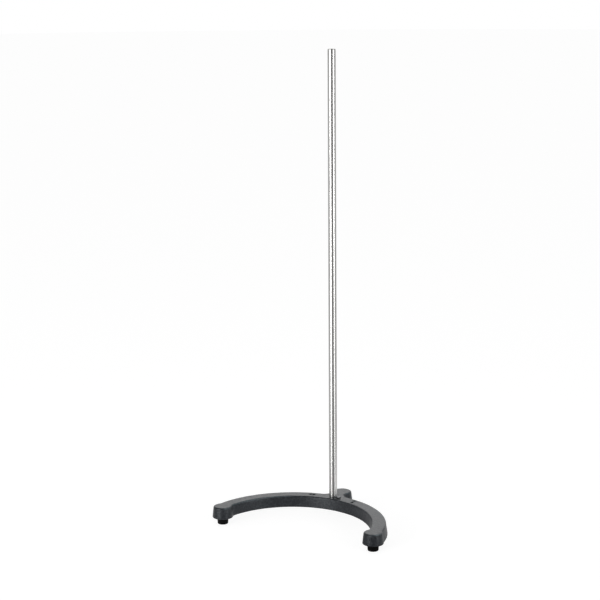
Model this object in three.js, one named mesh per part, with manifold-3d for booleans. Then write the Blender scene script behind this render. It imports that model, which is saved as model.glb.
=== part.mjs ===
// Retort stand: a half-ring cast-iron base on three rubber feet, with an
// upright stainless rod screwed into it in front of the rear lug.
//
// Frame: millimetres, +Z up along the rod, +Y towards the rear lug, the open
// side of the half ring towards -Y. The origin is on the floor, in the middle
// of the footprint.

import * as THREE from 'three';
import { mergeVertices } from 'three/addons/utils/BufferGeometryUtils.js';
import Module from 'manifold-3d';

// ---------------------------------------------------------------- dimensions
// casting outline, at its top face, before the edge is rounded
const RING_R = 138.9;          // radius of the arm's centre-line
const ARM_W = 22;              // width of the arm
const END_ANGLE = 7;           // end bosses sit this many degrees behind the ring's centre
const END_RADIUS = 137.5;      // their distance from the ring's centre
const END_R = 14.8;            // radius of an end boss
const LUG_Y = 174.6;           // rear lug, distance behind the ring's centre
const LUG_R = 15.3;            // radius of the rear lug
const NECK_R = 13.8;           // concave fillet between ring and rear lug
const INNER_R = 8.5;           // concave fillet between arm and end boss, inside
const OUTER_R = 4.3;           // the same, outside
// the walls flare towards the underside by this much on each side
const ARM_DRAFT = 2;           // inner wall of the arm
const OUTSIDE_DRAFT = 2.8;     // outer wall of the arm
const END_DRAFT = 2.2;
const LUG_DRAFT = 2.5;
const NECK_R_LOW = 12.1;       // the concave fillets at the underside
const INNER_R_LOW = 11.5;
const OUTER_R_LOW = 4.9;
// casting section
const FOOT_H = 11;             // underside of the casting above the floor
const CAST_T = 18.7;           // thickness of the casting
const EDGE_R = 2.1;            // rounded top edge
const LOW_EDGE_R = 1.1;        // rounded bottom edge
// rod
const ROD_D = 13;
const ROD_TOTAL = 750;         // over all, thread included
const ROD_OFFSET = 4.2;        // rod axis behind the arm's centre-line
const THREAD_D = 10;           // M10 spigot
const THREAD_L = 17.5;
const RELIEF_D = 8.2;          // thread relief under the shoulder
const RELIEF_L = 2.2;
const ROD_END_R = 1.6;         // rounded top end
// feet
const PAD_TOP_R = 9.3;
const PAD_BOTTOM_R = 8.6;
const PAD_EDGE = 1;
const PLATE_R = 6.5;           // steel plate moulded in the pad's top
const PLATE_T = 1.7;
const STUD_D = 6;              // M6
const STUD_L = 12;
const STUD_HOLE_L = 14;
// small screw beside the rod
const SCREW_DX = 12.7;         // from the rod's axis
const SCREW_DY = -5.2;
const SCREW_D = 4;             // M4
const SCREW_L = 12;
const SCREW_HEAD_D = 7;
const SCREW_HEAD_H = 2.8;
const SLOT_W = 1.2;
const SLOT_DEPTH = 1.2;
// small round pits in the casting's top face: [x, y] from the ring's centre
const PITS = [[-37.9, 135.1], [-32.2, 135.7], [42.5, 128.3], [42.2, 136.7]];
const PIT_D = 4.2;
const PIT_DEPTH = 2;

const GAP = 0.3;               // clearance between pieces that touch

// ------------------------------------------------------------ derived levels
const TOP_Z = FOOT_H + CAST_T;
const END_X = END_RADIUS * Math.cos(THREE.MathUtils.degToRad(END_ANGLE));
const END_Y = END_RADIUS * Math.sin(THREE.MathUtils.degToRad(END_ANGLE));
const FRONT_Y = END_Y - END_R - END_DRAFT;
const REAR_Y = LUG_Y + LUG_R + LUG_DRAFT;
const RING_Y = -(FRONT_Y + REAR_Y) / 2;      // ring's centre in the part's frame
const ROD_Y = RING_Y + RING_R + ROD_OFFSET;
const ROD_TOP_Z = TOP_Z + GAP + ROD_TOTAL - THREAD_L;

// ------------------------------------------------------------------- helpers
const wasm = await Module();
wasm.setup();

function solid(geometry) {
  const g = geometry.clone();
  g.deleteAttribute('normal');
  g.deleteAttribute('uv');
  const m = mergeVertices(g, 1e-4);
  return new wasm.Manifold(new wasm.Mesh({
    numProp: 3,
    vertProperties: new Float32Array(m.attributes.position.array),
    triVerts: new Uint32Array(m.index.array),
  }));
}

function geometryOf(manifold) {
  const mesh = manifold.getMesh();
  const g = new THREE.BufferGeometry();
  g.setAttribute('position', new THREE.BufferAttribute(new Float32Array(mesh.vertProperties), 3));
  g.setIndex(new THREE.BufferAttribute(new Uint32Array(mesh.triVerts), 1));
  g.computeVertexNormals();
  return g;
}

// body of revolution about +Z from [radius, z] pairs that start and end on the axis
function turned(profile, segments) {
  const g = new THREE.LatheGeometry(profile.map(([r, z]) => new THREE.Vector2(r, z)), segments);
  g.rotateX(Math.PI / 2);
  return g;
}

function cylinder(radius, z0, z1, x, y, segments) {
  const g = new THREE.CylinderGeometry(radius, radius, z1 - z0, segments);
  g.rotateX(Math.PI / 2);
  g.translate(x, y, (z0 + z1) / 2);
  return g;
}

function arc(cx, cy, r, a0, a1, n) {
  const curve = new THREE.EllipseCurve(cx, cy, r, r, a0, a1, a1 < a0, 0);
  return curve.getPoints(n);
}

// where two circles meet
function meet(ax, ay, ar, bx, by, br) {
  const d = Math.hypot(bx - ax, by - ay);
  const a = (ar * ar - br * br + d * d) / (2 * d);
  const h = Math.sqrt(ar * ar - a * a);
  const ux = (bx - ax) / d, uy = (by - ay) / d;
  return [[ax + a * ux - h * uy, ay + a * uy + h * ux], [ax + a * ux + h * uy, ay + a * uy - h * ux]];
}

// ------------------------------------------------------------ casting outline
const AT_TOP = {
  inside: RING_R - ARM_W / 2, outside: RING_R + ARM_W / 2,
  end: END_R, lug: LUG_R, neck: NECK_R, inner: INNER_R, outer: OUTER_R,
};
const AT_UNDERSIDE = {
  inside: AT_TOP.inside - ARM_DRAFT, outside: AT_TOP.outside + OUTSIDE_DRAFT,
  end: END_R + END_DRAFT, lug: LUG_R + LUG_DRAFT, neck: NECK_R_LOW,
  inner: INNER_R_LOW, outer: OUTER_R_LOW,
};

// Right half, from the back of the lug round the arm to the middle of its
// inner edge; every joint between arcs is tangent. Centred on the ring.
function rightHalf(s) {
  const ri = s.inside, ro = s.outside;
  const angle = (x, y, cx, cy) => Math.atan2(y - cy, x - cx);
  const neck = meet(0, 0, ro + s.neck, 0, LUG_Y, s.lug + s.neck).sort((p, q) => q[0] - p[0])[0];
  const inner = meet(0, 0, ri - s.inner, END_X, END_Y, s.end + s.inner).sort((p, q) => q[1] - p[1])[0];
  const outer = meet(0, 0, ro + s.outer, END_X, END_Y, s.end + s.outer).sort((p, q) => q[1] - p[1])[0];
  const turn = (a) => (a + 2 * Math.PI) % (2 * Math.PI);
  const parts = [];
  // lug
  parts.push(arc(0, LUG_Y, s.lug, Math.PI / 2, angle(neck[0], neck[1], 0, LUG_Y), 12));
  // neck
  parts.push(arc(neck[0], neck[1], s.neck, turn(angle(0, LUG_Y, neck[0], neck[1])), turn(angle(0, 0, neck[0], neck[1])), 6));
  // outer edge of the arm
  parts.push(arc(0, 0, ro, angle(neck[0], neck[1], 0, 0), angle(outer[0], outer[1], 0, 0), 30));
  // outer fillet
  parts.push(arc(outer[0], outer[1], s.outer, turn(angle(0, 0, outer[0], outer[1])), turn(angle(END_X, END_Y, outer[0], outer[1])), 3));
  // end boss
  const b0 = angle(outer[0], outer[1], END_X, END_Y);
  let b1 = angle(inner[0], inner[1], END_X, END_Y);
  while (b1 > b0) b1 -= 2 * Math.PI;
  parts.push(arc(END_X, END_Y, s.end, b0, b1, 16));
  // inner fillet
  let g0 = angle(END_X, END_Y, inner[0], inner[1]);
  let g1 = angle(inner[0], inner[1], 0, 0);
  if (g1 - g0 > Math.PI) g1 -= 2 * Math.PI;
  if (g0 - g1 > Math.PI) g0 -= 2 * Math.PI;
  parts.push(arc(inner[0], inner[1], s.inner, g0, g1, 5));
  // inner edge of the arm
  parts.push(arc(0, 0, ri, angle(inner[0], inner[1], 0, 0), Math.PI / 2, 30));
  // each arc starts where the one before ended
  const points = parts.flatMap((p, i) => (i === 0 ? p : p.slice(1)));
  points[0].x = 0;
  points[points.length - 1].x = 0;
  return points;
}

function castingOutline(s) {
  const right = rightHalf(s);
  const left = right.slice(1, -1).reverse().map((p) => new THREE.Vector2(-p.x, p.y));
  return [...right, ...left].reverse();                  // anticlockwise
}

// ---------------------------------------------------------------- the casting
function castingGeometry() {
  const top = castingOutline(AT_TOP);
  const low = castingOutline(AT_UNDERSIDE);
  const g = new THREE.ExtrudeGeometry(new THREE.Shape(top), {
    depth: CAST_T - 2 * EDGE_R,
    bevelEnabled: true,
    bevelThickness: EDGE_R,
    bevelSize: EDGE_R,
    bevelOffset: -EDGE_R,
    bevelSegments: 3,
    curveSegments: 1,
    steps: 1,
  });
  g.translate(0, 0, FOOT_H + EDGE_R);
  // The walls run from the top outline to the wider one at the underside: every
  // point moves by the difference between the two, more the lower it lies.
  const pos = g.attributes.position;
  const tighter = LOW_EDGE_R / EDGE_R;
  for (let k = 0; k < pos.count; k++) {
    let x = pos.getX(k), y = pos.getY(k), z = pos.getZ(k);
    let best = 0, d2 = Infinity;
    top.forEach((p, i) => {
      const d = (p.x - x) ** 2 + (p.y - y) ** 2;
      if (d < d2) { d2 = d; best = i; }
    });
    if (z < FOOT_H + EDGE_R + 1e-6) {
      x = top[best].x + (x - top[best].x) * tighter;
      y = top[best].y + (y - top[best].y) * tighter;
      z = FOOT_H + (z - FOOT_H) * tighter;
    }
    const part = (TOP_Z - z) / CAST_T;
    pos.setXYZ(k, x + (low[best].x - top[best].x) * part, y + (low[best].y - top[best].y) * part, z);
  }
  g.translate(0, RING_Y, 0);
  let body = solid(g);
  const cut = (geometry) => { body = body.subtract(solid(geometry)); };
  // tapped hole for the rod, right through
  cut(cylinder(THREAD_D / 2 + GAP, FOOT_H - 1, TOP_Z + 1, 0, ROD_Y, 32));
  // tapped blind holes for the foot studs
  for (const [x, y] of footPlaces()) {
    cut(cylinder(STUD_D / 2 + GAP, FOOT_H - 1, FOOT_H + STUD_HOLE_L, x, y, 20));
  }
  // tapped blind hole for the small screw
  cut(cylinder(SCREW_D / 2 + GAP, TOP_Z - SCREW_L - 1.5, TOP_Z + 1, SCREW_DX, ROD_Y + SCREW_DY, 16));
  // pits
  for (const [x, y] of PITS) {
    cut(cylinder(PIT_D / 2, TOP_Z - PIT_DEPTH, TOP_Z + 1, x, RING_Y + y, 10));
  }
  return geometryOf(body);
}

function footPlaces() {
  return [
    [-END_X, RING_Y + END_Y],
    [END_X, RING_Y + END_Y],
    [0, RING_Y + LUG_Y],
  ];
}

// -------------------------------------------------------------------- the rod
function rodGeometry() {
  const r = ROD_D / 2, t = THREAD_D / 2;
  const shoulder = TOP_Z + GAP;
  const end = shoulder - THREAD_L;
  const profile = [
    [0, end],
    [t - 0.9, end],
    [t, end + 0.9],
    [t, shoulder - RELIEF_L - 0.7],
    [RELIEF_D / 2, shoulder - RELIEF_L],
    [RELIEF_D / 2, shoulder],
    [r - 0.3, shoulder],
    [r, shoulder + 0.3],
    [r, ROD_TOP_Z - ROD_END_R],
  ];
  for (let i = 1; i <= 4; i++) {
    const a = (i / 4) * Math.PI / 2;
    profile.push([r - ROD_END_R * (1 - Math.cos(a)), ROD_TOP_Z - ROD_END_R * (1 - Math.sin(a))]);
  }
  profile.push([0, ROD_TOP_Z]);
  return turned(profile, 48);
}

// ------------------------------------------------------------------- the feet
function padGeometry() {
  const top = FOOT_H - GAP;
  const floor = top - PLATE_T - GAP;
  return turned([
    [0, 0],
    [PAD_BOTTOM_R - PAD_EDGE, 0],
    [PAD_BOTTOM_R - PAD_EDGE * 0.29, PAD_EDGE * 0.29],
    [PAD_BOTTOM_R, PAD_EDGE],
    [PAD_TOP_R, top - 0.6],
    [PAD_TOP_R - 0.6, top],
    [PLATE_R + GAP, top],
    [PLATE_R + GAP, floor],
    [0, floor],
  ], 36);
}

function studGeometry() {
  const top = FOOT_H - GAP;
  const r = STUD_D / 2;
  return turned([
    [0, top - PLATE_T],
    [PLATE_R, top - PLATE_T],
    [PLATE_R, top],
    [r, top],
    [r, top + STUD_L - 0.6],
    [r - 0.6, top + STUD_L],
    [0, top + STUD_L],
  ], 24);
}

// ------------------------------------------------------------- the small screw
function screwGeometry() {
  const seat = TOP_Z + GAP;
  const head = SCREW_HEAD_D / 2, r = SCREW_D / 2;
  const shape = solid(turned([
    [0, seat - SCREW_L],
    [r - 0.5, seat - SCREW_L],
    [r, seat - SCREW_L + 0.5],
    [r, seat],
    [head, seat],
    [head, seat + SCREW_HEAD_H - 0.5],
    [head - 0.5, seat + SCREW_HEAD_H],
    [0, seat + SCREW_HEAD_H],
  ], 24));
  const slot = new THREE.BoxGeometry(SLOT_W, SCREW_HEAD_D + 2, SLOT_DEPTH + 1);
  slot.rotateZ(THREE.MathUtils.degToRad(25));
  slot.translate(0, 0, seat + SCREW_HEAD_H - SLOT_DEPTH + (SLOT_DEPTH + 1) / 2);
  return geometryOf(shape.subtract(solid(slot)));
}

// ------------------------------------------------------------------ materials
const paint = () => new THREE.MeshStandardMaterial({ color: 0x6a6d70, roughness: 0.45, metalness: 0.15 });
const stainless = () => new THREE.MeshStandardMaterial({ color: 0xd4d4d2, roughness: 0.15, metalness: 1.0 });
const rubber = () => new THREE.MeshStandardMaterial({ color: 0x141414, roughness: 0.8, metalness: 0.0 });
const zinc = () => new THREE.MeshStandardMaterial({ color: 0xa8aaac, roughness: 0.4, metalness: 1.0 });
const blackSteel = () => new THREE.MeshStandardMaterial({ color: 0x4a4b4c, roughness: 0.45, metalness: 0.9 });

// ------------------------------------------------------------------- assembly
const group = new THREE.Group();

function add(name, geometry, material, x = 0, y = 0, z = 0, parent = group) {
  const mesh = new THREE.Mesh(geometry, material);
  mesh.name = name;
  mesh.position.set(x, y, z);
  parent.add(mesh);
  return mesh;
}

add('base_casting', castingGeometry(), paint());
add('upright_rod', rodGeometry(), stainless(), 0, ROD_Y, 0);
add('lock_screw', screwGeometry(), blackSteel(), SCREW_DX, ROD_Y + SCREW_DY, 0);

const sides = ['left', 'right', 'rear'];
footPlaces().forEach(([x, y], i) => {
  const foot = new THREE.Group();
  foot.position.set(x, y, 0);
  group.add(foot);
  add(`foot_pad_${sides[i]}`, padGeometry(), rubber(), 0, 0, 0, foot);
  add(`foot_stud_${sides[i]}`, studGeometry(), zinc(), 0, 0, 0, foot);
});

export default group;
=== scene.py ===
import math

import bpy
import numpy as np
from mathutils import Matrix, Vector, geometry, noise


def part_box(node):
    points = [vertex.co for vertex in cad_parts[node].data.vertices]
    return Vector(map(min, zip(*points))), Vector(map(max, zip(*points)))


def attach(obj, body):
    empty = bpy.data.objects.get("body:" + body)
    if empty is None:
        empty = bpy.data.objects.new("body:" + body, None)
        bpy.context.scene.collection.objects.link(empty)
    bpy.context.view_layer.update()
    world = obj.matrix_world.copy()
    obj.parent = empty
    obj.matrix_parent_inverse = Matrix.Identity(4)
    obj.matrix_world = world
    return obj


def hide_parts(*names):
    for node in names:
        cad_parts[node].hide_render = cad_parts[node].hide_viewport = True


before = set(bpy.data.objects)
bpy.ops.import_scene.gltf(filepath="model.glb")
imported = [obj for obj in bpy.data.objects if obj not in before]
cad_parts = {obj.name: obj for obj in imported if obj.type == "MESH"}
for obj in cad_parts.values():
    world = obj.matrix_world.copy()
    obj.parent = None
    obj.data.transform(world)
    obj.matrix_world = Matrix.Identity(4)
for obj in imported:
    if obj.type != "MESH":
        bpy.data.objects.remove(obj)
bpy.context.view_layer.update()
SCENE = bpy.context.scene
MM = 0.001

# ------------------------------------------------------------------ dimensions, millimetres
END_ANGLE, END_RADIUS = math.radians(7.0), 137.5
LUG_Y = 174.6
AT_TOP = dict(inside=127.9, outside=149.9, end=14.8, lug=15.3, neck=13.8, inner=8.5, outer=4.3)
AT_UNDERSIDE = dict(inside=125.9, outside=152.7, end=17.0, lug=17.8, neck=12.1, inner=11.5, outer=4.9)
TOP_EDGE_R, BOTTOM_EDGE_R = 2.1, 1.1
END_X, END_Y = END_RADIUS * math.cos(END_ANGLE), END_RADIUS * math.sin(END_ANGLE)

_lo, _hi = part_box("base_casting")
FOOT_H, TOP_Z = _lo.z / MM, _hi.z / MM
CAST_T = TOP_Z - FOOT_H
RING_Y = _hi.y / MM - (LUG_Y + AT_UNDERSIDE["lug"] - (AT_UNDERSIDE["lug"] - AT_TOP["lug"]) * BOTTOM_EDGE_R / CAST_T)
_lo, _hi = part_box("upright_rod")
ROD_X, ROD_Y = (_lo.x + _hi.x) / 2 / MM, (_lo.y + _hi.y) / 2 / MM
ROD_R = (_hi.x - _lo.x) / 2 / MM
ROD_END_Z, ROD_TOP_Z = _lo.z / MM, _hi.z / MM
_lo, _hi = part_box("lock_screw")
SCREW_X, SCREW_Y = (_lo.x + _hi.x) / 2 / MM, (_lo.y + _hi.y) / 2 / MM
SCREW_TOP_Z = _hi.z / MM
SCREW_END_Z = _lo.z / MM
FEET = {}
for side in ("left", "right", "rear"):
    _lo, _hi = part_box("foot_pad_" + side)
    FEET[side] = ((_lo.x + _hi.x) / 2 / MM, (_lo.y + _hi.y) / 2 / MM)
PITS = [(-37.9, 135.1), (-32.2, 135.7), (42.5, 128.3), (42.2, 136.7)]


# ------------------------------------------------------------------ camera
CAM = dict(az=29.2752, dist=2633.22, z=948.56, pitch=12.0233, yaw=-0.3662, roll=-0.4284, f=1750.58)


def make_camera():
    az, dist, height = math.radians(CAM["az"]), CAM["dist"], CAM["z"]
    position = Vector((dist * math.sin(az), RING_Y - dist * math.cos(az), height)) * MM
    yaw, pitch, roll = az + math.radians(CAM["yaw"]), math.radians(CAM["pitch"]), math.radians(CAM["roll"])
    forward = Vector((-math.sin(yaw) * math.cos(pitch), math.cos(yaw) * math.cos(pitch), -math.sin(pitch)))
    right = Vector((math.cos(yaw), math.sin(yaw), 0))
    up = right.cross(forward)
    x = right * math.cos(roll) + up * math.sin(roll)
    y = up * math.cos(roll) - right * math.sin(roll)
    data = bpy.data.cameras.new("camera")
    data.sensor_width = 36.0
    data.lens = CAM["f"] / 600.0 * 36.0
    data.clip_start, data.clip_end = 0.05, 60.0
    camera = bpy.data.objects.new("camera", data)
    matrix = Matrix((x, y, -forward)).transposed().to_4x4()
    matrix.translation = position
    camera.matrix_world = matrix
    SCENE.collection.objects.link(camera)
    SCENE.camera = camera
    return camera


camera = make_camera()

# brightness of the studio by bearing from the camera's side, degrees, positive to the right
STUDIO = [(-180, 1.6), (-165, 1.3), (-150, 0.6), (-110, 0.55), (-66, 0.58), (-58, 0.8), (-30, 0.8), (-22, 0.3), (-18, 0.10), (12, 0.10), (17, 0.3),
          (32, 0.6), (60, 0.6), (70, 0.5), (110, 0.5), (150, 0.6), (165, 1.3), (180, 1.6)]
OVERHEAD = 0.18
# what reflections see of the floor: bearing from, bearing to, brightness, nearest and farthest distance in metres
FLOOR_SECTORS = [(-180, -97, 0.6, 0.02, 0.28), (-97, -62, 0.8, 0.02, 0.28), (-62, -30, 0.65, 0.02, 0.28), (-30, 28, 0.24, 0.02, 0.28),
                 (28, 62, 0.55, 0.02, 0.28), (62, 110, 0.8, 0.02, 0.28), (110, 150, 0.9, 0.02, 0.28), (150, 180, 0.6, 0.02, 0.28),
                 (-180, -97, 0.50, 0.28, 13), (-97, -62, 0.62, 0.28, 13), (-62, -32, 1.25, 0.28, 13), (-32, -3, 0.52, 0.28, 13),
                 (-3, 28, 0.18, 0.28, 13), (28, 62, 0.68, 0.28, 13), (62, 150, 0.45, 0.28, 13), (150, 180, 0.9, 0.28, 13)]
# soft boxes: bearing, half width in degrees, distance, bottom, top, radiance
SOFT_BOXES = [("soft_box_left", -46, 12, 2.3, 0.02, 1.05, 7.0), ("soft_box_right", 49, 13, 2.3, 0.02, 1.05, 4.4)]

# cool soft boxes high on the right, for the casting's edges: bearing, elevation in degrees, distance, diameter in metres, radiance
HIGH_BOXES = [("high_soft_box_right", 105, 40, 2.2, 2.1, 2.0), ("high_soft_box_front", 55, 66, 2.2, 1.6, 6.5)]


# ------------------------------------------------------------------ mesh building
class Builder:
    """Rings and faces of one closed mesh, in millimetres."""

    def __init__(self):
        self.co = []
        self.faces = []
        self.count = 0

    def ring(self, points):
        points = np.asarray(points, float).reshape(-1, 3)
        self.co.append(points)
        first = self.count
        self.count += len(points)
        return list(range(first, self.count))

    def bridge(self, a, b):
        n = len(a)
        for i in range(n):
            j = (i + 1) % n
            self.faces.append((a[i], a[j], b[j], b[i]))

    def fan(self, ring, centre, flip=False):
        c = self.ring([centre])[0]
        n = len(ring)
        for i in range(n):
            j = (i + 1) % n
            self.faces.append((ring[j], ring[i], c) if flip else (ring[i], ring[j], c))

    def disc(self, ring, centre, radii, z, flip=False):
        """closes a round ring with smaller rings and a fan"""
        last = ring
        pts = np.concatenate(self.co)[ring]
        base = np.linalg.norm(pts[:, :2] - np.asarray(centre[:2]), axis=1).mean()
        for r in radii:
            p = pts.copy()
            p[:, :2] = np.asarray(centre[:2]) + (pts[:, :2] - np.asarray(centre[:2])) * (r / base)
            p[:, 2] = z
            nxt = self.ring(p)
            self.bridge(nxt, last) if flip else self.bridge(last, nxt)
            last = nxt
        self.fan(last, (centre[0], centre[1], z), flip)

    def finish(self, name, smooth_angle=None):
        mesh = bpy.data.meshes.new(name)
        co = np.concatenate(self.co) * MM
        mesh.from_pydata([tuple(p) for p in co], [], self.faces)
        mesh.validate(clean_customdata=False)
        import bmesh
        bm = bmesh.new()
        bm.from_mesh(mesh)
        bmesh.ops.recalc_face_normals(bm, faces=bm.faces)
        bm.to_mesh(mesh)
        bm.free()
        mesh.polygons.foreach_set("use_smooth", [True] * len(mesh.polygons))
        if smooth_angle is not None:
            mark_sharp(mesh, smooth_angle)
        obj = bpy.data.objects.new(name, mesh)
        SCENE.collection.objects.link(obj)
        return obj


def mark_sharp(mesh, degrees):
    """edges that turn by more than this stay crisp"""
    import bmesh
    bm = bmesh.new()
    bm.from_mesh(mesh)
    limit = math.radians(degrees)
    for e in bm.edges:
        e.smooth = not (len(e.link_faces) == 2 and e.calc_face_angle(0) > limit)
    bm.to_mesh(mesh)
    bm.free()


def circle(cx, cy, r, z, n, phase=0.0):
    t = np.arange(n) / n * 2 * math.pi + phase
    r = np.broadcast_to(np.asarray(r, float), (n,))
    return np.stack([cx + r * np.cos(t), cy + r * np.sin(t), np.broadcast_to(np.asarray(z, float), (n,))], 1)


def thread_radius(z, theta, major, pitch, hand=1):
    """radius of a rounded 60 degree thread at height z and angle theta"""
    depth = 0.6134 * pitch
    phase = np.mod(z / pitch - hand * theta / (2 * math.pi), 1.0)
    tri = np.abs(phase - 0.5) * 2                      # 1 at the crest's phase 0, 0 at the root
    t = np.clip((tri - 0.22) / (0.88 - 0.22), 0, 1)
    t = t * t * (3 - 2 * t) * 0.35 + t * 0.65
    return major - depth + depth * t


def threaded(builder, cx, cy, z0, z1, major, pitch, n, limits, step_per_pitch=14):
    """rings of a threaded length; limits(z) caps the radius, for chamfers and run-outs"""
    rows = max(4, int(round((z1 - z0) / pitch * step_per_pitch)))
    theta = np.arange(n) / n * 2 * math.pi
    rings = []
    for k in range(rows + 1):
        z = z0 + (z1 - z0) * k / rows
        r = np.minimum(thread_radius(z, theta, major, pitch), limits(z))
        rings.append(builder.ring(circle(cx, cy, r, z, n)))
    for a, b in zip(rings, rings[1:]):
        builder.bridge(a, b)
    return rings[0], rings[-1]


def profile_rings(builder, cx, cy, profile, n, last=None):
    """adds a ring per [radius, z] of the profile, bridged to the one before"""
    for r, z in profile:
        ring = builder.ring(circle(cx, cy, r, z, n))
        if last is not None:
            builder.bridge(last, ring)
        last = ring
    return last


# ------------------------------------------------------------------ casting outline
def meet(ax, ay, ar, bx, by, br):
    d = math.hypot(bx - ax, by - ay)
    a = (ar * ar - br * br + d * d) / (2 * d)
    h = math.sqrt(ar * ar - a * a)
    ux, uy = (bx - ax) / d, (by - ay) / d
    return [(ax + a * ux - h * uy, ay + a * uy + h * ux), (ax + a * ux + h * uy, ay + a * uy - h * ux)]


def outline(s, counts=None, step=1.0):
    """anticlockwise points of an outline centred on the ring, and how many steps each arc has"""
    ri, ro = s["inside"], s["outside"]
    neck = max(meet(0, 0, ro + s["neck"], 0, LUG_Y, s["lug"] + s["neck"]), key=lambda p: p[0])
    inner = max(meet(0, 0, ri - s["inner"], END_X, END_Y, s["end"] + s["inner"]), key=lambda p: p[1])
    outer = max(meet(0, 0, ro + s["outer"], END_X, END_Y, s["end"] + s["outer"]), key=lambda p: p[1])
    rows, used = [], []

    def arc(cx, cy, r, a0, a1, fine=1.0):
        n = counts[len(used)] if counts else max(3, int(math.ceil(abs(a1 - a0) * r / (step * fine))))
        used.append(n)
        for i in range(n + 1):
            if rows and i == 0:
                continue
            a = a0 + (a1 - a0) * i / n
            rows.append((cx + r * math.cos(a), cy + r * math.sin(a)))

    def ang(p, c):
        return math.atan2(p[1] - c[1], p[0] - c[0])

    def pos(a):
        return a % (2 * math.pi)

    o, e, lug = (0, 0), (END_X, END_Y), (0, LUG_Y)
    arc(*lug, s["lug"], math.pi / 2, ang(neck, lug), 0.8)
    arc(*neck, s["neck"], pos(ang(lug, neck)), pos(ang(o, neck)), 0.8)
    arc(*o, ro, ang(neck, o), ang(outer, o))
    arc(*outer, s["outer"], pos(ang(o, outer)), pos(ang(e, outer)), 0.5)
    b0, b1 = ang(outer, e), ang(inner, e)
    while b1 > b0:
        b1 -= 2 * math.pi
    arc(*e, s["end"], b0, b1, 0.8)
    g0, g1 = ang(e, inner), ang(inner, o)
    if g1 - g0 > math.pi:
        g1 -= 2 * math.pi
    if g0 - g1 > math.pi:
        g0 -= 2 * math.pi
    arc(*inner, s["inner"], g0, g1, 0.6)
    arc(*o, ri, ang(inner, o), math.pi / 2)
    right = np.array(rows)
    right[0, 0] = right[-1, 0] = 0
    left = right[1:-1][::-1].copy()
    left[:, 0] *= -1
    return np.concatenate([right, left])[::-1], used


def outward(points):
    """unit normals of a closed anticlockwise line"""
    a = points - np.roll(points, 1, 0)
    a /= np.linalg.norm(a, axis=1, keepdims=True)
    t = a + np.roll(a, -1, 0)
    t /= np.linalg.norm(t, axis=1, keepdims=True)
    return np.stack([t[:, 1], -t[:, 0]], 1)


def inside(points, poly):
    x, y = points[:, 0], points[:, 1]
    hit = np.zeros(len(points), bool)
    px, py = poly[:, 0], poly[:, 1]
    qx, qy = np.roll(px, -1), np.roll(py, -1)
    for ax, ay, bx, by in zip(px, py, qx, qy):
        if ay == by:
            continue
        cross = (ay > y) != (by > y)
        hit ^= cross & (x < (bx - ax) * (y - ay) / (by - ay) + ax)
    return hit


def flat_face(builder, loop, holes, z, spacing, flip):
    """fills the area inside a loop of vertices and outside round hole loops with even triangles"""
    co = np.concatenate(builder.co)
    outer = co[loop][:, :2]
    lo, hi = outer.min(0), outer.max(0)
    pts = []
    row = 0
    y = lo[1]
    while y < hi[1]:
        x = lo[0] + (spacing / 2 if row % 2 else 0)
        while x < hi[0]:
            pts.append((x, y))
            x += spacing
        y += spacing * 0.866
        row += 1
    pts = np.array(pts)
    pts = pts[inside(pts, outer)]
    keep = np.ones(len(pts), bool)
    for k in range(0, len(pts), 400):
        d = np.linalg.norm(pts[k:k + 400, None] - outer[None], axis=2).min(1)
        keep[k:k + 400] &= d > spacing * 0.55
    for ring, centre, radius in holes:
        keep &= np.linalg.norm(pts - np.array(centre), axis=1) > radius + spacing * 0.5
    pts = pts[keep]
    inner = builder.ring(np.column_stack([pts, np.full(len(pts), z)]))
    index = list(loop)
    edges = [(i, (i + 1) % len(loop)) for i in range(len(loop))]
    for ring, centre, radius in holes:
        first = len(index)
        index += list(ring)
        edges += [(first + i, first + (i + 1) % len(ring)) for i in range(len(ring))]
    index += inner
    co = np.concatenate(builder.co)
    flat = [Vector((co[i][0], co[i][1])) for i in index]
    verts, _, faces, orig, _, _ = geometry.delaunay_2d_cdt(flat, edges, [], 1, 1e-6)
    rims = [set(h[0]) for h in holes]
    for f in faces:
        ids = [index[orig[i][0]] for i in f]
        if any(rim.issuperset(ids) for rim in rims):       # inside a hole
            continue
        builder.faces.append(tuple(reversed(ids)) if flip else tuple(ids))


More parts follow.
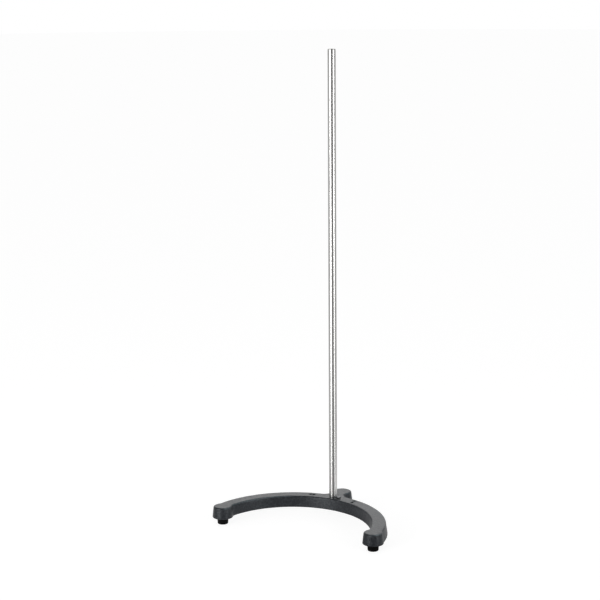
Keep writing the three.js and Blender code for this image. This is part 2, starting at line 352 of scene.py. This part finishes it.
# ------------------------------------------------------------------ the casting
def make_casting():
    b = Builder()
    top, counts = outline(AT_TOP)
    low, _ = outline(AT_UNDERSIDE, counts)
    top, low = top + np.array([0, RING_Y]), low + np.array([0, RING_Y])
    nrm = outward((top + low) / 2)

    def ring_at(offset, z):
        p = top + (low - top) * (TOP_Z - z) / CAST_T
        p = p + outward(p) * offset
        return b.ring(np.column_stack([p, np.full(len(p), z)]))

    rows = []
    re, rb = TOP_EDGE_R, BOTTOM_EDGE_R
    for i in range(6):                                     # bottom edge
        t = i / 5 * math.pi / 2
        rows.append((-rb + rb * math.sin(t), FOOT_H + rb * (1 - math.cos(t))))
    for i in range(1, 11):                                 # wall
        rows.append((0.0, FOOT_H + rb + (CAST_T - rb - re) * i / 11))
    for i in range(9):                                     # top edge
        t = i / 8 * math.pi / 2
        rows.append((-re + re * math.cos(t), TOP_Z - re + re * math.sin(t)))
    rings = [ring_at(o, z) for o, z in rows]
    for a, c in zip(rings, rings[1:]):
        b.bridge(a, c)

    def hole_down(cx, cy, profile, n):
        """rings of a hole from its mouth inwards"""
        first = last = None
        for r, z in profile:
            ring = b.ring(circle(cx, cy, r, z, n))
            if last is None:
                first = ring
            else:
                b.bridge(last, ring)
            last = ring
        return first, last

    top_holes, bottom_holes = [], []
    # rod hole, right through, with a small countersink at both mouths
    rod_top, rod_bottom = hole_down(ROD_X, ROD_Y, [
        (5.9, TOP_Z), (5.75, TOP_Z - 0.06), (5.2, TOP_Z - 0.6), (5.15, TOP_Z - 0.8), (5.15, TOP_Z - 9),
        (5.15, FOOT_H + 0.8), (5.2, FOOT_H + 0.6), (5.75, FOOT_H + 0.06), (5.9, FOOT_H)], 64)
    top_holes.append((rod_top, (ROD_X, ROD_Y), 5.9))
    bottom_holes.append((rod_bottom, (ROD_X, ROD_Y), 5.9))
    # tapped hole of the small screw
    first, last = hole_down(SCREW_X, SCREW_Y, [
        (2.7, TOP_Z), (2.6, TOP_Z - 0.06), (2.15, TOP_Z - 0.5), (2.15, TOP_Z - 13.2)], 40)
    b.fan(last, (SCREW_X, SCREW_Y, TOP_Z - 14.2))
    top_holes.append((first, (SCREW_X, SCREW_Y), 2.7))
    # pits
    pit_rings = []
    for x, y in PITS:
        start = b.count
        first, last = hole_down(x, RING_Y + y, [
            (2.35, TOP_Z), (2.25, TOP_Z - 0.03), (2.16, TOP_Z - 0.12), (2.12, TOP_Z - 0.3), (2.08, TOP_Z - 0.8),
            (1.98, TOP_Z - 1.5), (1.6, TOP_Z - 1.85), (0.8, TOP_Z - 1.98)], 40)
        b.fan(last, (x, RING_Y + y, TOP_Z - 2.0))
        pit_rings.append((start, b.count))
        top_holes.append((first, (x, RING_Y + y), 2.35))
    # stud holes from below
    for x, y in FEET.values():
        first, last = hole_down(x, y, [
            (3.6, FOOT_H), (3.5, FOOT_H + 0.05), (3.1, FOOT_H + 0.5), (3.1, FOOT_H + 12.5)], 40)
        b.fan(last, (x, y, FOOT_H + 14))
        bottom_holes.append((first, (x, y), 3.6))
    flat_face(b, rings[-1], top_holes, TOP_Z, 2.4, False)
    flat_face(b, rings[0], bottom_holes, FOOT_H, 3.2, True)

    # a sand casting is never quite flat: slow waves of about a tenth of a millimetre
    co = np.concatenate(b.co)
    out = co.copy()
    normals = np.zeros_like(co)
    for ring, (o, z) in zip(rings, rows):
        normals[ring, :2] = nrm
    # painted shade: the paint is darkened inside the pits and, more lightly, round their mouths
    shade = np.ones(len(co))
    for first, last in pit_rings:
        shade[first:last] = 0.08
        shade[first:first + 40] = 0.6                     # the mouth
    for i, p in enumerate(co):
        q = Vector(p)
        slow = noise.noise(q / 17.0) * 0.12 + noise.noise(q / 6.5 + Vector((9, 3, 1))) * 0.05 - 0.11
        near_top, near_bottom = max(0.0, 1 - (TOP_Z - p[2]) / 3), max(0.0, 1 - (p[2] - FOOT_H) / 3)
        out[i, 2] += slow * (0.55 * near_top - 0.55 * near_bottom)
        n = normals[i]
        if n.any():
            out[i] += n * slow
    b.co = [out]
    obj = b.finish("hammer_painted_base", 38)
    # the painted pit shade goes to the paint as a point attribute
    obj.data.attributes.new("shade", "FLOAT", "POINT").data.foreach_set("value", shade)
    return obj


# ------------------------------------------------------------------ the rod
def make_rod():
    b = Builder()
    n = 96
    shoulder = TOP_Z + 0.03
    end = ROD_END_Z
    r = ROD_R
    last = profile_rings(b, ROD_X, ROD_Y, [(3.6, end)], n)
    b.disc(last, (ROD_X, ROD_Y), [1.8], end, flip=True)
    major, pitch = 5.0, 1.5
    relief = 4.05

    def limits(z):
        return min(3.7 + (z - end) / 1.0 * 1.2, 6.0) if z < shoulder - 3.4 else 4.05 + max(0.0, (shoulder - 2.2 - z)) * 1.0

    first, lastt = threaded(b, ROD_X, ROD_Y, end + 0.02, shoulder - 2.2, major, pitch, n, limits)
    b.bridge(last, first)
    body = [(relief, shoulder - 1.9), (relief, shoulder - 0.35), (relief + 0.1, shoulder - 0.1), (relief + 0.35, shoulder),
            (5.2, shoulder), (6.0, shoulder), (r - 0.32, shoulder), (r - 0.2, shoulder + 0.03), (r - 0.08, shoulder + 0.11), (r - 0.02, shoulder + 0.22), (r, shoulder + 0.4)]
    last = profile_rings(b, ROD_X, ROD_Y, body, n, lastt)
    length = ROD_TOP_Z - 1.6 - (shoulder + 0.4)
    steps = 60
    last = profile_rings(b, ROD_X, ROD_Y, [(r, shoulder + 0.4 + length * k / steps) for k in range(1, steps + 1)], n, last)
    top = []
    for i in range(1, 9):
        t = i / 8 * math.pi / 2
        top.append((r - 1.6 * (1 - math.cos(t)), ROD_TOP_Z - 1.6 + 1.6 * math.sin(t)))
    last = profile_rings(b, ROD_X, ROD_Y, top, n, last)
    b.disc(last, (ROD_X, ROD_Y), [4.2, 2.8, 1.4], ROD_TOP_Z)
    return b.finish("polished_rod", 40)


# ------------------------------------------------------------------ the feet
def make_pad(side):
    x, y = FEET[side]
    b = Builder()
    n = 72
    top = FOOT_H - 0.06
    # underside: shallow rings moulded in the sole
    profile = [(1.2, 0.55), (2.2, 0.55), (2.5, 0.5), (2.7, 0.12), (2.95, 0.0), (3.9, 0.0), (4.15, 0.12), (4.35, 0.5), (4.6, 0.55),
               (5.2, 0.55), (5.45, 0.5), (5.65, 0.12), (5.9, 0.0), (7.6, 0.0)]
    profile += [(7.6 + 1.0 * math.sin(t), 1.0 * (1 - math.cos(t))) for t in [math.radians(a) for a in (15, 30, 45, 60, 75, 90)]]
    for k in range(1, 9):
        z = 1.0 + (top - 0.9 - 1.0) * k / 9
        profile.append((8.6 + 0.7 * (z - 1.0) / (top - 1.0), z))
    profile += [(9.3 - 0.9 * (1 - math.cos(t)), top - 0.9 + 0.9 * math.sin(t)) for t in [math.radians(a) for a in (0, 18, 36, 54, 72, 90)]]
    profile += [(6.75, top), (6.6, top - 0.05), (6.55, top - 0.2), (6.55, top - 1.7), (6.4, top - 1.85), (5.0, top - 1.85), (2.5, top - 1.85)]
    first = b.ring(circle(x, y, profile[0][0], profile[0][1], n))
    b.fan(first, (x, y, 0.55), True)
    last = profile_rings(b, x, y, profile[1:], n, first)
    b.fan(last, (x, y, top - 1.85))
    return b.finish("rubber_foot_" + side, 50)


def make_stud(side):
    x, y = FEET[side]
    b = Builder()
    n = 56
    top = FOOT_H - 0.06
    under = top - 1.75
    last = b.ring(circle(x, y, 3.0, under, n))
    b.fan(last, (x, y, under), True)
    last = profile_rings(b, x, y, [(6.0, under), (6.25, under + 0.07), (6.4, under + 0.25), (6.45, under + 0.9),
                                   (6.4, top - 0.3), (6.3, top - 0.12), (6.1, top - 0.02), (4.2, top - 0.02), (3.3, top - 0.02), (2.75, top + 0.15), (2.6, top + 0.5)], n, last)
    end = top + 11.9

    def limits(z):
        return min(2.6 + max(0.0, z - top - 0.9) * 0.9, 2.0 + max(0.0, end - z) * 1.1)

    first, lastt = threaded(b, x, y, top + 0.7, end, 3.0, 1.0, n, limits)
    b.bridge(last, first)
    b.disc(lastt, (x, y), [1.0], end)
    return b.finish("threaded_stud_" + side, 42)


# ------------------------------------------------------------------ the small screw
def make_screw():
    b = Builder()
    n = 64
    seat = TOP_Z + 0.03
    head_r, head_top = 3.5, SCREW_TOP_Z - 0.27
    end = SCREW_END_Z

    def limits(z):
        return min(1.3 + (z - end) * 1.0, 1.62 + max(0.0, seat - 0.9 - z) * 0.9)

    first, last = threaded(b, SCREW_X, SCREW_Y, end, seat - 0.9, 2.0, 0.7, n, limits)
    b.fan(first, (SCREW_X, SCREW_Y, end), True)
    last = profile_rings(b, SCREW_X, SCREW_Y, [(1.62, seat - 0.3), (1.75, seat - 0.05), (1.9, seat), (3.2, seat), (3.36, seat + 0.03), (3.46, seat + 0.12), (head_r, seat + 0.28),
                                               (head_r, head_top - 0.55), (3.47, head_top - 0.38), (3.38, head_top - 0.2), (3.24, head_top - 0.07), (3.05, head_top)], n, last)
    b.disc(last, (SCREW_X, SCREW_Y), [2.4, 1.6, 0.8], head_top)
    obj = b.finish("cheese_head_screw", 40)
    # slot
    cutter = bpy.data.meshes.new("slot")
    w, l, z0, z1 = 0.6, 6.0, head_top - 1.2, head_top + 2
    ang = math.radians(25)
    pts = []
    for z in (z0, z1):
        for dx, dy in ((-w, -l), (w, -l), (w, l), (-w, l)):
            pts.append(((SCREW_X + dx * math.cos(ang) - dy * math.sin(ang)) * MM, (SCREW_Y + dx * math.sin(ang) + dy * math.cos(ang)) * MM, z * MM))
    cutter.from_pydata(pts, [], [(3, 2, 1, 0), (4, 5, 6, 7), (0, 1, 5, 4), (1, 2, 6, 5), (2, 3, 7, 6), (3, 0, 4, 7)])
    tool = bpy.data.objects.new("slot", cutter)
    SCENE.collection.objects.link(tool)
    mod = obj.modifiers.new("slot", "BOOLEAN")
    mod.operation, mod.solver, mod.object = "DIFFERENCE", "EXACT", tool
    bpy.context.view_layer.update()
    deps = bpy.context.evaluated_depsgraph_get()
    mesh = bpy.data.meshes.new_from_object(obj.evaluated_get(deps))
    obj.modifiers.clear()
    obj.data = mesh
    mesh.name = "cheese_head_screw"
    bpy.data.objects.remove(tool)
    mesh.polygons.foreach_set("use_smooth", [True] * len(mesh.polygons))
    mark_sharp(mesh, 40)
    return obj


# ------------------------------------------------------------------ materials
def new_material(name):
    m = bpy.data.materials.new(name)
    m.use_nodes = True
    nt = m.node_tree
    for node in list(nt.nodes):
        nt.nodes.remove(node)
    out = nt.nodes.new("ShaderNodeOutputMaterial")
    shader = nt.nodes.new("ShaderNodeBsdfPrincipled")
    nt.links.new(shader.outputs["BSDF"], out.inputs["Surface"])
    return m, nt, shader


def node(nt, kind, **values):
    n = nt.nodes.new(kind)
    for k, v in values.items():
        if k in n.inputs:
            n.inputs[k].default_value = v
        else:
            setattr(n, k, v)
    return n


def ramp(nt, factor, stops):
    r = nt.nodes.new("ShaderNodeValToRGB")
    while len(r.color_ramp.elements) > 1:
        r.color_ramp.elements.remove(r.color_ramp.elements[0])
    first = True
    for pos, c in stops:
        e = r.color_ramp.elements[0] if first else r.color_ramp.elements.new(pos)
        e.position = pos
        e.color = (*c, 1) if len(c) == 3 else c
        first = False
    nt.links.new(factor, r.inputs["Fac"])
    return r


def coords(nt, scale=(1, 1, 1)):
    t = nt.nodes.new("ShaderNodeTexCoord")
    m = nt.nodes.new("ShaderNodeMapping")
    m.inputs["Scale"].default_value = scale
    nt.links.new(t.outputs["Object"], m.inputs["Vector"])
    return m.outputs["Vector"]


def hammer_paint():
    """dark grey hammer-finish enamel: shallow dimples with leafing aluminium in the paint"""
    m, nt, s = new_material("hammer_finish_paint")
    link = nt.links.new
    vec = coords(nt)
    # wobble the cells so that they don't look geometric
    warp = node(nt, "ShaderNodeTexNoise", Scale=260.0, Detail=2.0)
    link(vec, warp.inputs["Vector"])
    mix = node(nt, "ShaderNodeVectorMath", operation="MULTIPLY_ADD")
    link(warp.outputs["Color"], mix.inputs[0])
    mix.inputs[1].default_value = (0.0026, 0.0026, 0.0026)
    link(vec, mix.inputs[2])
    cells = node(nt, "ShaderNodeTexVoronoi", Scale=330.0, feature="SMOOTH_F1", Smoothness=0.5)
    link(mix.outputs["Vector"], cells.inputs["Vector"])
    fine = node(nt, "ShaderNodeTexNoise", Scale=1900.0, Detail=3.0, Roughness=0.6)
    link(vec, fine.inputs["Vector"])
    slow = node(nt, "ShaderNodeTexNoise", Scale=38.0, Detail=3.0, Roughness=0.55)
    link(vec, slow.inputs["Vector"])
    tone = ramp(nt, cells.outputs["Distance"], [(0.0, PAINT_DARK), (0.42, PAINT_MID), (0.85, PAINT_LIGHT)])
    grain = ramp(nt, fine.outputs["Fac"], [(0.3, (0.72, 0.72, 0.72)), (0.7, (1.28, 1.28, 1.28))])
    drift = ramp(nt, slow.outputs["Fac"], [(0.3, (0.86, 0.86, 0.87)), (0.7, (1.14, 1.14, 1.13))])
    m1 = node(nt, "ShaderNodeMix", data_type="RGBA", blend_type="MULTIPLY")
    m1.inputs[0].default_value = 1.0
    link(tone.outputs["Color"], m1.inputs[6])
    link(grain.outputs["Color"], m1.inputs[7])
    m2 = node(nt, "ShaderNodeMix", data_type="RGBA", blend_type="MULTIPLY")
    m2.inputs[0].default_value = 1.0
    link(m1.outputs[2], m2.inputs[6])
    link(drift.outputs["Color"], m2.inputs[7])
    # painted shade in and round the pits keeps them dark; more roughness there keeps them dull
    shade = node(nt, "ShaderNodeAttribute", attribute_name="shade", attribute_type="GEOMETRY")
    m3 = node(nt, "ShaderNodeMix", data_type="RGBA", blend_type="MULTIPLY")
    m3.inputs[0].default_value = 1.0
    link(m2.outputs[2], m3.inputs[6])
    link(shade.outputs["Fac"], m3.inputs[7])
    link(m3.outputs[2], s.inputs["Base Color"])
    rough = ramp(nt, cells.outputs["Distance"], [(0.0, (0.26,) * 3), (0.8, (0.40,) * 3)])
    dull = node(nt, "ShaderNodeMath", operation="MULTIPLY_ADD")
    link(shade.outputs["Fac"], dull.inputs[0])
    dull.inputs[1].default_value, dull.inputs[2].default_value = -0.6, 0.6
    total = node(nt, "ShaderNodeMath", operation="ADD")
    link(rough.outputs["Color"], total.inputs[0])
    link(dull.outputs["Value"], total.inputs[1])
    link(total.outputs["Value"], s.inputs["Roughness"])
    s.inputs["Specular IOR Level"].default_value = 0.36
    s.inputs["Specular Tint"].default_value = (0.91, 0.965, 1.0, 1)
    height = node(nt, "ShaderNodeMath", operation="MULTIPLY_ADD")
    link(fine.outputs["Fac"], height.inputs[0])
    height.inputs[1].default_value = 0.12
    link(cells.outputs["Distance"], height.inputs[2])
    bump = node(nt, "ShaderNodeBump", Strength=0.62, Distance=0.00038)
    link(height.outputs["Value"], bump.inputs["Height"])
    link(bump.outputs["Normal"], s.inputs["Normal"])
    return m


def stainless():
    """ground and polished stainless bar: faint rings round it, faint long streaks"""
    m, nt, s = new_material("polished_stainless")
    link = nt.links.new
    rings = node(nt, "ShaderNodeTexNoise", Scale=1.0, Detail=4.0, Roughness=0.6)
    link(coords(nt, (60, 60, 5200)), rings.inputs["Vector"])
    streaks = node(nt, "ShaderNodeTexNoise", Scale=1.0, Detail=3.0, Roughness=0.5)
    link(coords(nt, (900, 900, 9)), streaks.inputs["Vector"])
    blotch = node(nt, "ShaderNodeTexNoise", Scale=1.0, Detail=2.0)
    link(coords(nt, (70, 70, 22)), blotch.inputs["Vector"])
    tone = ramp(nt, streaks.outputs["Fac"], [(0.3, (0.66, 0.655, 0.64)), (0.7, (0.75, 0.745, 0.735))])
    link(tone.outputs["Color"], s.inputs["Base Color"])
    add = node(nt, "ShaderNodeMath", operation="MULTIPLY_ADD")
    link(rings.outputs["Fac"], add.inputs[0])
    add.inputs[1].default_value = 0.6
    link(blotch.outputs["Fac"], add.inputs[2])
    rough = ramp(nt, add.outputs["Value"], [(0.45, (0.26,) * 3), (1.0, (0.29,) * 3)])
    link(rough.outputs["Color"], s.inputs["Roughness"])
    s.inputs["Metallic"].default_value = 1.0
    s.inputs["Anisotropic"].default_value = 0.9
    s.inputs["Anisotropic Rotation"].default_value = 0.25
    around = nt.nodes.new("ShaderNodeTangent")
    around.direction_type, around.axis = "RADIAL", "Z"
    link(around.outputs["Tangent"], s.inputs["Tangent"])
    bump = node(nt, "ShaderNodeBump", Strength=0.03, Distance=0.00002)
    link(rings.outputs["Fac"], bump.inputs["Height"])
    link(bump.outputs["Normal"], s.inputs["Normal"])
    return m


def rubber():
    m, nt, s = new_material("moulded_rubber")
    link = nt.links.new
    vec = coords(nt)
    grain = node(nt, "ShaderNodeTexNoise", Scale=2600.0, Detail=4.0, Roughness=0.65)
    link(vec, grain.inputs["Vector"])
    dust = node(nt, "ShaderNodeTexNoise", Scale=260.0, Detail=5.0, Roughness=0.7)
    link(vec, dust.inputs["Vector"])
    tone = ramp(nt, dust.outputs["Fac"], [(0.35, (0.0022, 0.0022, 0.0023)), (0.62, (0.0042, 0.0042, 0.0043)), (0.8, (0.010, 0.0098, 0.0094))])
    link(tone.outputs["Color"], s.inputs["Base Color"])
    rough = ramp(nt, dust.outputs["Fac"], [(0.3, (0.50,) * 3), (0.75, (0.72,) * 3)])
    link(rough.outputs["Color"], s.inputs["Roughness"])
    s.inputs["Specular IOR Level"].default_value = 0.07
    bump = node(nt, "ShaderNodeBump", Strength=0.35, Distance=0.00006)
    link(grain.outputs["Fac"], bump.inputs["Height"])
    link(bump.outputs["Normal"], s.inputs["Normal"])
    return m


def zinc():
    m, nt, s = new_material("zinc_plate")
    link = nt.links.new
    vec = coords(nt)
    spots = node(nt, "ShaderNodeTexNoise", Scale=420.0, Detail=5.0, Roughness=0.65)
    link(vec, spots.inputs["Vector"])
    tone = ramp(nt, spots.outputs["Fac"], [(0.3, (0.42, 0.43, 0.45)), (0.55, (0.58, 0.585, 0.58)), (0.75, (0.66, 0.645, 0.60))])
    link(tone.outputs["Color"], s.inputs["Base Color"])
    rough = ramp(nt, spots.outputs["Fac"], [(0.3, (0.24,) * 3), (0.7, (0.42,) * 3)])
    link(rough.outputs["Color"], s.inputs["Roughness"])
    s.inputs["Metallic"].default_value = 1.0
    bump = node(nt, "ShaderNodeBump", Strength=0.2, Distance=0.00004)
    link(spots.outputs["Fac"], bump.inputs["Height"])
    link(bump.outputs["Normal"], s.inputs["Normal"])
    return m


def dark_steel():
    m, nt, s = new_material("blackened_steel")
    link = nt.links.new
    vec = coords(nt)
    spots = node(nt, "ShaderNodeTexNoise", Scale=700.0, Detail=5.0, Roughness=0.6)
    link(vec, spots.inputs["Vector"])
    tone = ramp(nt, spots.outputs["Fac"], [(0.3, (0.10, 0.102, 0.108)), (0.6, (0.14, 0.142, 0.148)), (0.8, (0.21, 0.208, 0.202))])
    link(tone.outputs["Color"], s.inputs["Base Color"])
    rough = ramp(nt, spots.outputs["Fac"], [(0.3, (0.28,) * 3), (0.7, (0.45,) * 3)])
    link(rough.outputs["Color"], s.inputs["Roughness"])
    s.inputs["Metallic"].default_value = 0.85
    bump = node(nt, "ShaderNodeBump", Strength=0.2, Distance=0.00003)
    link(spots.outputs["Fac"], bump.inputs["Height"])
    link(bump.outputs["Normal"], s.inputs["Normal"])
    return m


PAINT_DARK = (0.0115, 0.0125, 0.0155)
PAINT_MID = (0.0195, 0.0210, 0.0250)
PAINT_LIGHT = (0.034, 0.0362, 0.042)

MAT = {"hammer_paint": hammer_paint(), "polished_stainless": stainless(), "foot_rubber": rubber(), "zinc_steel": zinc(), "dark_steel": dark_steel()}


def place(obj, nodes, body, slot):
    obj.data.materials.clear()
    obj.data.materials.append(MAT[slot])
    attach(obj, body)
    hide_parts(nodes)
    return obj


place(make_casting(), "base_casting", "base", "hammer_paint")
place(make_rod(), "upright_rod", "rod", "polished_stainless")
place(make_screw(), "lock_screw", "base", "dark_steel")
for side in ("left", "right", "rear"):
    place(make_pad(side), "foot_pad_" + side, side + "_foot", "foot_rubber")
    place(make_stud(side), "foot_stud_" + side, side + "_foot", "zinc_steel")


# ------------------------------------------------------------------ stage
def stage_mesh(name, points, faces, material, camera_visible=True):
    mesh = bpy.data.meshes.new(name)
    mesh.from_pydata(points, [], faces)
    mesh.materials.append(material)
    obj = bpy.data.objects.new(name, mesh)
    SCENE.collection.objects.link(obj)
    if not camera_visible:
        obj.visible_camera = False
        obj.visible_shadow = False
        obj.visible_diffuse = camera_visible is None
        obj.visible_glossy = camera_visible is False
    else:
        obj.visible_diffuse = False
    return obj


def floor_material():
    m, nt, s = new_material("pale_floor")
    s.inputs["Base Color"].default_value = (FLOOR_ALBEDO,) * 3 + (1,)
    s.inputs["Roughness"].default_value = 0.95
    s.inputs["Specular IOR Level"].default_value = 0.0
    s.inputs["Emission Color"].default_value = (1, 1, 1, 1)
    s.inputs["Emission Strength"].default_value = FLOOR_GLOW
    return m


def glow(name, value):
    m = bpy.data.materials.new(name)
    m.use_nodes = True
    nt = m.node_tree
    for n_ in list(nt.nodes):
        nt.nodes.remove(n_)
    out = nt.nodes.new("ShaderNodeOutputMaterial")
    e = nt.nodes.new("ShaderNodeEmission")
    e.inputs["Color"].default_value = (value, value, value, 1)
    nt.links.new(e.outputs["Emission"], out.inputs["Surface"])
    return m


FLOOR_ALBEDO, FLOOR_GLOW = 0.28, 0.885
SIZE, N = 14.0, 96
stage_mesh("floor", [(SIZE * math.cos(2 * math.pi * i / N), SIZE * math.sin(2 * math.pi * i / N), -0.0003) for i in range(N)], [tuple(range(N))], floor_material())


def sector(name, left, right, value, near=0.02, far=13.0, z=0.0004):
    """a flat sheet on the floor that only reflections see, between two bearings from the rod;
    bearings are in degrees from the camera's side, positive to the right"""
    steps = max(3, int((right - left) / 3))
    pts = []
    for i in range(steps + 1):
        a = math.radians(CAM["az"] + left + (right - left) * i / steps)
        for r in (near, far):
            pts.append((ROD_X * MM + r * math.sin(a), ROD_Y * MM - r * math.cos(a), z))
    faces = [(2 * i, 2 * i + 1, 2 * i + 3, 2 * i + 2) for i in range(steps)]
    return stage_mesh(name, pts, faces, glow(name, value), False)


for k, (left, right, value, near, far) in enumerate(FLOOR_SECTORS):
    sector("floor_card_%d" % k, left, right, value, near, far)

# painted shade: a dim sheet under the floor, seen only by diffuse rays, stands in for the floor close to the base,
# which gives back less light than the open floor
stage_mesh("floor_near", [(0.30 * math.cos(2 * math.pi * i / N), 0.30 * math.sin(2 * math.pi * i / N), -0.001) for i in range(N)], [tuple(range(N))],
           glow("near_floor", 0.22), None)

# ------------------------------------------------------------------ light
world = bpy.data.worlds.new("world")
SCENE.world = world
world.use_nodes = True
nt = world.node_tree
for n_ in list(nt.nodes):
    nt.nodes.remove(n_)
link = nt.links.new
out = nt.nodes.new("ShaderNodeOutputWorld")
seen = nt.nodes.new("ShaderNodeBackground")
seen.inputs["Color"].default_value = (1, 1, 1, 1)
seen.inputs["Strength"].default_value = 1.0
lit = nt.nodes.new("ShaderNodeBackground")
lit.inputs["Strength"].default_value = 2.0
# the studio round the object: brightness by bearing from the camera's side
direction = nt.nodes.new("ShaderNodeTexCoord").outputs["Generated"]
a0 = math.radians(CAM["az"])
to_camera, to_right = (math.sin(a0), -math.cos(a0), 0), (math.cos(a0), math.sin(a0), 0)
dots = []
for v in (to_right, to_camera):
    d = nt.nodes.new("ShaderNodeVectorMath")
    d.operation = "DOT_PRODUCT"
    link(direction, d.inputs[0])
    d.inputs[1].default_value = v
    dots.append(d.outputs["Value"])
atan = nt.nodes.new("ShaderNodeMath")
atan.operation = "ARCTAN2"
link(dots[0], atan.inputs[0])
link(dots[1], atan.inputs[1])
unit = nt.nodes.new("ShaderNodeMath")
unit.operation = "MULTIPLY_ADD"
link(atan.outputs[0], unit.inputs[0])
unit.inputs[1].default_value = 1 / (2 * math.pi)
unit.inputs[2].default_value = 0.5
studio = ramp(nt, unit.outputs[0], [((deg + 180) / 360, (v / 2,) * 3) for deg, v in STUDIO])
# overhead the studio is one big soft light
up = nt.nodes.new("ShaderNodeSeparateXYZ")
link(direction, up.inputs[0])
overhead = ramp(nt, up.outputs["Z"], [(0.0, (0, 0, 0)), (0.45, (0, 0, 0)), (0.75, (1, 1, 1))])
mix = nt.nodes.new("ShaderNodeMix")
mix.data_type = "RGBA"
link(overhead.outputs["Color"], mix.inputs[0])
link(studio.outputs["Color"], mix.inputs[6])
mix.inputs[7].default_value = (OVERHEAD / 2,) * 3 + (1,)
link(mix.outputs[2], lit.inputs["Color"])
path = nt.nodes.new("ShaderNodeLightPath")
mixer = nt.nodes.new("ShaderNodeMixShader")
link(path.outputs["Is Camera Ray"], mixer.inputs[0])
link(lit.outputs[0], mixer.inputs[1])
link(seen.outputs[0], mixer.inputs[2])
link(mixer.outputs[0], out.inputs["Surface"])

for name, bearing, half, distance, z0, z1, radiance in SOFT_BOXES:
    data = bpy.data.lights.new(name, "AREA")
    data.shape = "RECTANGLE"
    data.size = 2 * distance * math.tan(math.radians(half))
    data.size_y = z1 - z0
    data.energy = radiance * math.pi * data.size * data.size_y
    box = bpy.data.objects.new(name, data)
    a = math.radians(CAM["az"] + bearing)
    box.location = (ROD_X * MM + distance * math.sin(a), ROD_Y * MM - distance * math.cos(a), (z0 + z1) / 2)
    box.rotation_euler = (math.pi / 2, 0, a)
    box.visible_camera = False
    SCENE.collection.objects.link(box)

casting_only = bpy.data.collections.new("casting_only")
casting_only.objects.link(bpy.data.objects["hammer_painted_base"])
for name, bearing, elevation, distance, side, radiance in HIGH_BOXES:
    data = bpy.data.lights.new(name, "AREA")
    data.shape, data.size, data.color = "DISK", side, (0.80, 0.96, 1.0)
    data.energy = radiance * math.pi * math.pi * side * side / 4
    box = bpy.data.objects.new(name, data)
    a, e = math.radians(CAM["az"] + bearing), math.radians(elevation)
    box.location = (ROD_X * MM + distance * math.sin(a) * math.cos(e), ROD_Y * MM - distance * math.cos(a) * math.cos(e), distance * math.sin(e))
    box.rotation_euler = (math.pi / 2 - e, 0, a)
    box.visible_camera = box.visible_diffuse = False
    box.light_linking.receiver_collection = casting_only
    SCENE.collection.objects.link(box)

SCENE.view_settings.view_transform = "Standard"
SCENE.view_settings.look = "None"
SCENE.view_settings.exposure = 0.0
SCENE.view_settings.gamma = 1.0

bpy.context.view_layer.update()
